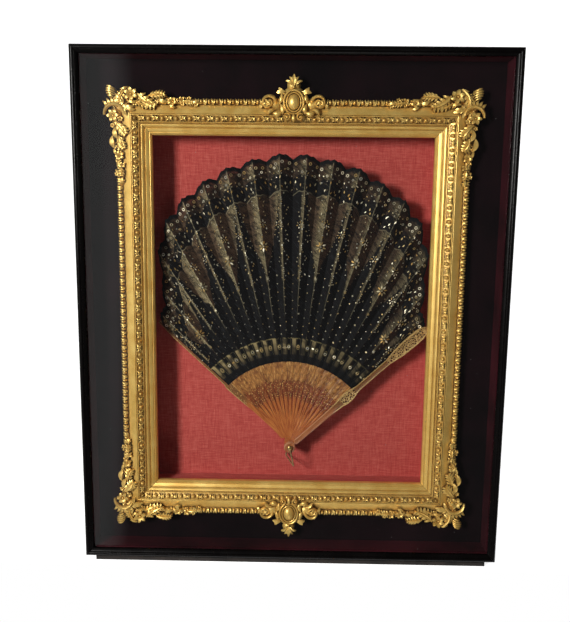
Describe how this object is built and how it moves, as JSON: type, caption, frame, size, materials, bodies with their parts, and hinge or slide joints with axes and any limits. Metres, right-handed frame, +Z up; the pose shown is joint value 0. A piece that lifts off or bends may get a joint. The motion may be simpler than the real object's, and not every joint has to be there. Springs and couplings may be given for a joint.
{
  "type": "framed folding fan",
  "caption": "Folding fan of horn sticks and spangled black lace, open on red fabric in a carved gilt frame inside a glazed, velvet-lined black case.",
  "frame": {"origin": "middle of the footprint, on the surface that the case stands on", "axes": "+X to the right seen from the front, -Y out of the glass, +Z up"},
  "size_m": [0.508, 0.0828, 0.615],
  "materials": {
    "ebonised_wood": "black ebonised wood, polished, worn at the arrises",
    "glass": "clear old picture glass",
    "velvet": "very dark crimson silk velvet, short pile",
    "gilt": "gilded composition on wood, warm satin, dark in the hollows",
    "red_fabric": "faded crimson slubbed fabric stretched on board",
    "backboard": "plain brown board",
    "brass": "dull old brass",
    "horn": "translucent amber horn, pierced and gilt",
    "lace": "black machine lace and gauze with gilt spangles"
  },
  "bodies": {
    "case": {"case_rail_bottom": "ebonised_wood", "case_rail_top": "ebonised_wood", "case_rail_left": "ebonised_wood", "case_rail_right": "ebonised_wood", "box_side_left": "ebonised_wood", "box_side_right": "ebonised_wood", "box_side_bottom": "ebonised_wood", "box_side_top": "ebonised_wood", "plinth_batten": "ebonised_wood", "glass_pane": "glass", "velvet_liner": "velvet", "velvet_board": "velvet", "gilt_rail_bottom": "gilt", "gilt_rail_top": "gilt", "gilt_rail_left": "gilt", "gilt_rail_right": "gilt", "corner_ornament_top_left": "gilt", "corner_ornament_top_right": "gilt", "corner_ornament_bottom_left": "gilt", "corner_ornament_bottom_right": "gilt", "cartouche_top": "gilt", "cartouche_bottom": "gilt", "well_box": "red_fabric", "fan_panel": "red_fabric", "backboard": "backboard", "hanger_strap_left": "brass", "hanger_strap_right": "brass", "stick_09": "horn", "leaf": "lace", "rivet_pin": "brass", "support_pad": "red_fabric"},
    "stick_08": {"stick_08": "horn"},
    "stick_07": {"stick_07": "horn"},
    "stick_06": {"stick_06": "horn"},
    "stick_05": {"stick_05": "horn"},
    "stick_04": {"stick_04": "horn"},
    "stick_03": {"stick_03": "horn"},
    "stick_02": {"stick_02": "horn"},
    "stick_01": {"stick_01": "horn"},
    "guard_back": {"guard_back": "horn"},
    "stick_10": {"stick_10": "horn"},
    "stick_11": {"stick_11": "horn"},
    "stick_12": {"stick_12": "horn"},
    "stick_13": {"stick_13": "horn"},
    "stick_14": {"stick_14": "horn"},
    "stick_15": {"stick_15": "horn"},
    "stick_16": {"stick_16": "horn"},
    "stick_17": {"stick_17": "horn"},
    "guard_front": {"guard_front": "horn"},
    "loop": {"loop": "brass"},
    "hanger_ring_left": {"hanger_ring_left": "brass"},
    "hanger_ring_right": {"hanger_ring_right": "brass"},
    "turn_button_left_lower": {"turn_button_left_lower": "brass"},
    "turn_button_left_upper": {"turn_button_left_upper": "brass"},
    "turn_button_right_lower": {"turn_button_right_lower": "brass"},
    "turn_button_right_upper": {"turn_button_right_upper": "brass"}
  },
  "joints": [
    {"name": "fold_left_1", "type": "hinge", "parent": "case", "child": "stick_08", "pos_m": [-0.0019, 0.00863, 0.1366], "axis": [0, 1, 0], "range_deg": [0, 5.22], "deforming": ["leaf"]},
    {"name": "fold_left_2", "type": "hinge", "parent": "stick_08", "child": "stick_07", "pos_m": [-0.0019, 0.00863, 0.1366], "axis": [0, 1, 0], "range_deg": [0, 5.22]},
    {"name": "fold_left_3", "type": "hinge", "parent": "stick_07", "child": "stick_06", "pos_m": [-0.0019, 0.00863, 0.1366], "axis": [0, 1, 0], "range_deg": [0, 5.22]},
    {"name": "fold_left_4", "type": "hinge", "parent": "stick_06", "child": "stick_05", "pos_m": [-0.0019, 0.00863, 0.1366], "axis": [0, 1, 0], "range_deg": [0, 5.22]},
    {"name": "fold_left_5", "type": "hinge", "parent": "stick_05", "child": "stick_04", "pos_m": [-0.0019, 0.00863, 0.1366], "axis": [0, 1, 0], "range_deg": [0, 5.22]},
    {"name": "fold_left_6", "type": "hinge", "parent": "stick_04", "child": "stick_03", "pos_m": [-0.0019, 0.00863, 0.1366], "axis": [0, 1, 0], "range_deg": [0, 5.22]},
    {"name": "fold_left_7", "type": "hinge", "parent": "stick_03", "child": "stick_02", "pos_m": [-0.0019, 0.00863, 0.1366], "axis": [0, 1, 0], "range_deg": [0, 5.22]},
    {"name": "fold_left_8", "type": "hinge", "parent": "stick_02", "child": "stick_01", "pos_m": [-0.0019, 0.00863, 0.1366], "axis": [0, 1, 0], "range_deg": [0, 5.22]},
    {"name": "fold_left_9", "type": "hinge", "parent": "stick_01", "child": "guard_back", "pos_m": [-0.0019, 0.00863, 0.1366], "axis": [0, 1, 0], "range_deg": [0, 5.22]},
    {"name": "fold_right_1", "type": "hinge", "parent": "case", "child": "stick_10", "pos_m": [-0.0019, 0.00863, 0.1366], "axis": [0, -1, 0], "range_deg": [0, 5.22], "deforming": ["leaf"]},
    {"name": "fold_right_2", "type": "hinge", "parent": "stick_10", "child": "stick_11", "pos_m": [-0.0019, 0.00863, 0.1366], "axis": [0, -1, 0], "range_deg": [0, 5.22]},
    {"name": "fold_right_3", "type": "hinge", "parent": "stick_11", "child": "stick_12", "pos_m": [-0.0019, 0.00863, 0.1366], "axis": [0, -1, 0], "range_deg": [0, 5.22]},
    {"name": "fold_right_4", "type": "hinge", "parent": "stick_12", "child": "stick_13", "pos_m": [-0.0019, 0.00863, 0.1366], "axis": [0, -1, 0], "range_deg": [0, 5.22]},
    {"name": "fold_right_5", "type": "hinge", "parent": "stick_13", "child": "stick_14", "pos_m": [-0.0019, 0.00863, 0.1366], "axis": [0, -1, 0], "range_deg": [0, 5.22]},
    {"name": "fold_right_6", "type": "hinge", "parent": "stick_14", "child": "stick_15", "pos_m": [-0.0019, 0.00863, 0.1366], "axis": [0, -1, 0], "range_deg": [0, 5.22]},
    {"name": "fold_right_7", "type": "hinge", "parent": "stick_15", "child": "stick_16", "pos_m": [-0.0019, 0.00863, 0.1366], "axis": [0, -1, 0], "range_deg": [0, 5.22]},
    {"name": "fold_right_8", "type": "hinge", "parent": "stick_16", "child": "stick_17", "pos_m": [-0.0019, 0.00863, 0.1366], "axis": [0, -1, 0], "range_deg": [0, 5.22]},
    {"name": "fold_right_9", "type": "hinge", "parent": "stick_17", "child": "guard_front", "pos_m": [-0.0019, 0.00863, 0.1366], "axis": [0, -1, 0], "range_deg": [0, 5.22]},
    {"name": "loop_swing", "type": "hinge", "parent": "case", "child": "loop", "pos_m": [-0.0019, 0.00863, 0.1366], "axis": [0, 1, 0], "range_deg": [-90, 90]},
    {"name": "hanger_swing_left", "type": "hinge", "parent": "case", "child": "hanger_ring_left", "pos_m": [-0.2483, 0.0389, 0.44], "axis": [1, 0, 0], "range_deg": [0, 180]},
    {"name": "hanger_swing_right", "type": "hinge", "parent": "case", "child": "hanger_ring_right", "pos_m": [0.2483, 0.0389, 0.44], "axis": [1, 0, 0], "range_deg": [0, 180]},
    {"name": "button_turn_left_lower", "type": "hinge", "parent": "case", "child": "turn_button_left_lower", "pos_m": [-0.2495, 0.03643, 0.12], "axis": [0, -1, 0], "range_deg": [0, 90]},
    {"name": "button_turn_left_upper", "type": "hinge", "parent": "case", "child": "turn_button_left_upper", "pos_m": [-0.2495, 0.03643, 0.5], "axis": [0, -1, 0], "range_deg": [0, 90]},
    {"name": "button_turn_right_lower", "type": "hinge", "parent": "case", "child": "turn_button_right_lower", "pos_m": [0.2495, 0.03643, 0.12], "axis": [0, 1, 0], "range_deg": [0, 90]},
    {"name": "button_turn_right_upper", "type": "hinge", "parent": "case", "child": "turn_button_right_upper", "pos_m": [0.2495, 0.03643, 0.5], "axis": [0, 1, 0], "range_deg": [0, 90]}
  ],
  "couplings": [
    {"joint": "fold_left_2", "follows": "fold_left_1", "ratio": 1},
    {"joint": "fold_left_3", "follows": "fold_left_1", "ratio": 1},
    {"joint": "fold_left_4", "follows": "fold_left_1", "ratio": 1},
    {"joint": "fold_left_5", "follows": "fold_left_1", "ratio": 1},
    {"joint": "fold_left_6", "follows": "fold_left_1", "ratio": 1},
    {"joint": "fold_left_7", "follows": "fold_left_1", "ratio": 1},
    {"joint": "fold_left_8", "follows": "fold_left_1", "ratio": 1},
    {"joint": "fold_left_9", "follows": "fold_left_1", "ratio": 1},
    {"joint": "fold_right_2", "follows": "fold_right_1", "ratio": 1},
    {"joint": "fold_right_3", "follows": "fold_right_1", "ratio": 1},
    {"joint": "fold_right_4", "follows": "fold_right_1", "ratio": 1},
    {"joint": "fold_right_5", "follows": "fold_right_1", "ratio": 1},
    {"joint": "fold_right_6", "follows": "fold_right_1", "ratio": 1},
    {"joint": "fold_right_7", "follows": "fold_right_1", "ratio": 1},
    {"joint": "fold_right_8", "follows": "fold_right_1", "ratio": 1},
    {"joint": "fold_right_9", "follows": "fold_right_1", "ratio": 1}
  ]
}
